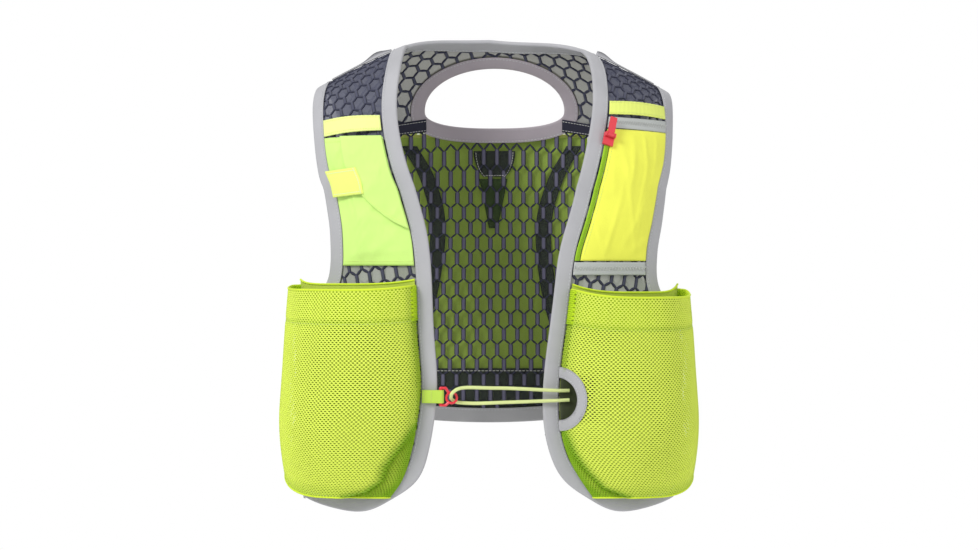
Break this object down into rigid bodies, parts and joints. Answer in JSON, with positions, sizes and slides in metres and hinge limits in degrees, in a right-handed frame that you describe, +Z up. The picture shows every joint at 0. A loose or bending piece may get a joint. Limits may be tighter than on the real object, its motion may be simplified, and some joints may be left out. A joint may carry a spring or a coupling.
{
  "type": "running hydration vest",
  "caption": "Sleeveless running vest of open mesh with taped edges, mesh bottle pockets, chest pockets, a rear pocket and a cord chest fastening, in its worn form.",
  "frame": {"origin": "between the shoulders, at the height where the vest hangs on the body", "axes": "+Z up along the wearer's spine, -Y to the front, +X to the wearer's left"},
  "size_m": [0.3612, 0.2579, 0.4157],
  "materials": {
    "grey_tape": "matt binding tape",
    "slate_mesh": "open knitted mesh",
    "lime_mesh": "stretch mesh",
    "lime_webbing": "woven",
    "pale_lime": "smooth stretch cloth",
    "yellow": "fluorescent cloth",
    "olive": "cloth",
    "dark": "cloth",
    "red_plastic": "moulded",
    "red_metal": "painted"
  },
  "bodies": {
    "vest": {"edge_tape_r": "grey_tape", "edge_tape_l": "grey_tape", "armhole_tape_front_r": "grey_tape", "armhole_tape_front_l": "grey_tape", "front_hem_tape_r": "grey_tape", "front_hem_tape_l": "grey_tape", "underarm_tape_r": "grey_tape", "underarm_tape_l": "grey_tape", "side_hem_tape_r": "grey_tape", "side_hem_tape_l": "grey_tape", "armhole_tape_yoke_r": "grey_tape", "armhole_tape_yoke_l": "grey_tape", "neck_tape": "grey_tape", "armhole_tape_back_r": "grey_tape", "armhole_tape_back_l": "grey_tape", "back_hem_tape": "grey_tape", "cutout_tape": "grey_tape", "window_tape": "grey_tape", "zip_band_top": "grey_tape", "zip_band_bottom": "grey_tape", "shoulder_tape_r": "grey_tape", "shoulder_tape_l": "grey_tape", "front_panel_r": "slate_mesh", "front_panel_l": "slate_mesh", "side_wing_r": "slate_mesh", "side_wing_l": "slate_mesh", "yoke": "slate_mesh", "back_panel": "slate_mesh", "bottle_pocket_r": "lime_mesh", "bottle_pocket_l": "lime_mesh", "rear_pocket": "lime_mesh", "webbing_tab": "lime_webbing", "zip_tape": "lime_webbing", "loop_band_r": "pale_lime", "stash_pocket": "pale_lime", "stash_flap": "pale_lime", "chest_cord": "pale_lime", "flap_tab": "yellow", "loop_band_l": "yellow", "zip_pocket": "yellow", "cord_patch": "olive", "hanger_strap": "olive", "rear_strap_r": "dark", "rear_strap_l": "dark", "hanger_patch": "dark", "hem_backing": "dark", "seam_band_r": "dark", "seam_band_l": "dark", "hook": "red_plastic", "zip_slider": "red_metal"},
    "pull": {"zip_pull": "red_metal"}
  },
  "joints": [
    {"name": "pull_swing", "type": "hinge", "parent": "vest", "child": "pull", "pos_m": [0.10373, -0.09359, -0.05552], "axis": [0.9193, 0.2643, -0.2915], "range_deg": [0, 165]}
  ]
}
